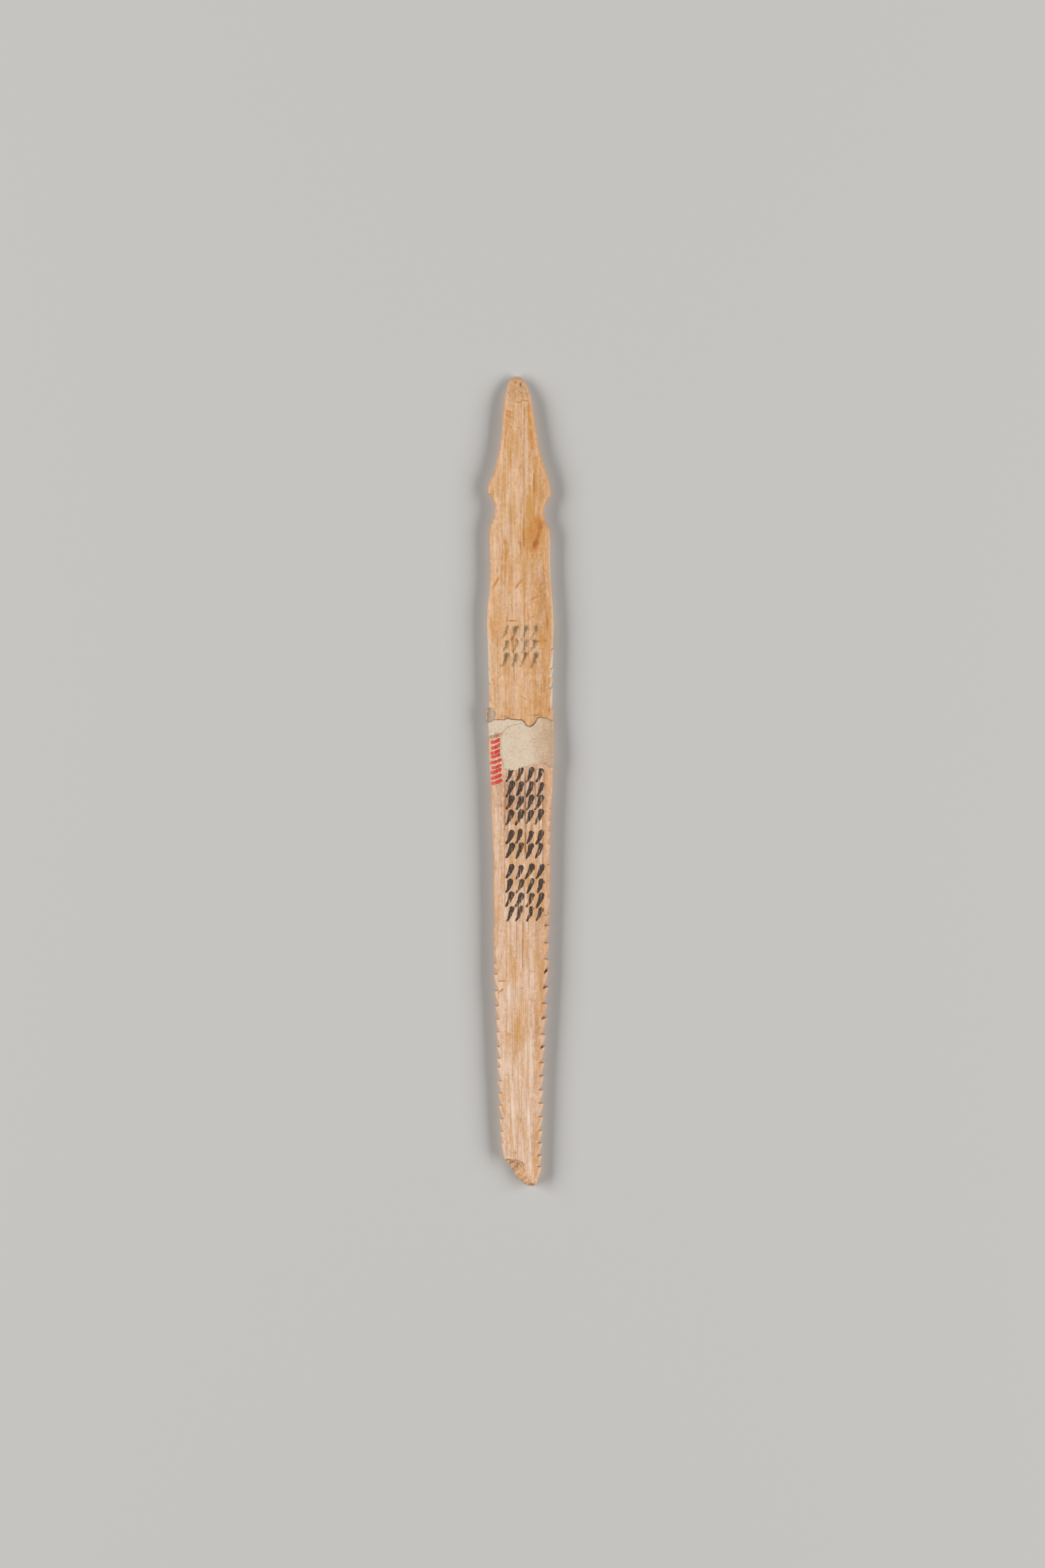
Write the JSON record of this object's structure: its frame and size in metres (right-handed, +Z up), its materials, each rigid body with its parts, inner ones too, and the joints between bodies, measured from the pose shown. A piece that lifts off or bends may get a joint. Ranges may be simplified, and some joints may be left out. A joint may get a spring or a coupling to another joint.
{
  "type": "ancient bone saw with raked teeth, mended",
  "caption": "Thin flat bone saw with a waisted pointed head and raked teeth down each edge, mended across the middle with a plaster fill and broken off at the foot.",
  "frame": {"origin": "centre of the blade's footprint, on the surface that it lies on", "axes": "+Y along the blade towards its pointed head, +Z up out of the inscribed face, +X to the right seen from above"},
  "size_m": [0.0142, 0.165, 0.0026],
  "materials": {
    "bone": "matte",
    "plaster": "matte",
    "glue": "satin"
  },
  "bodies": {
    "root": {"upper_blade": "bone", "lower_blade": "bone", "plaster_fill": "plaster", "glue_bead": "glue"}
  },
  "joints": []
}
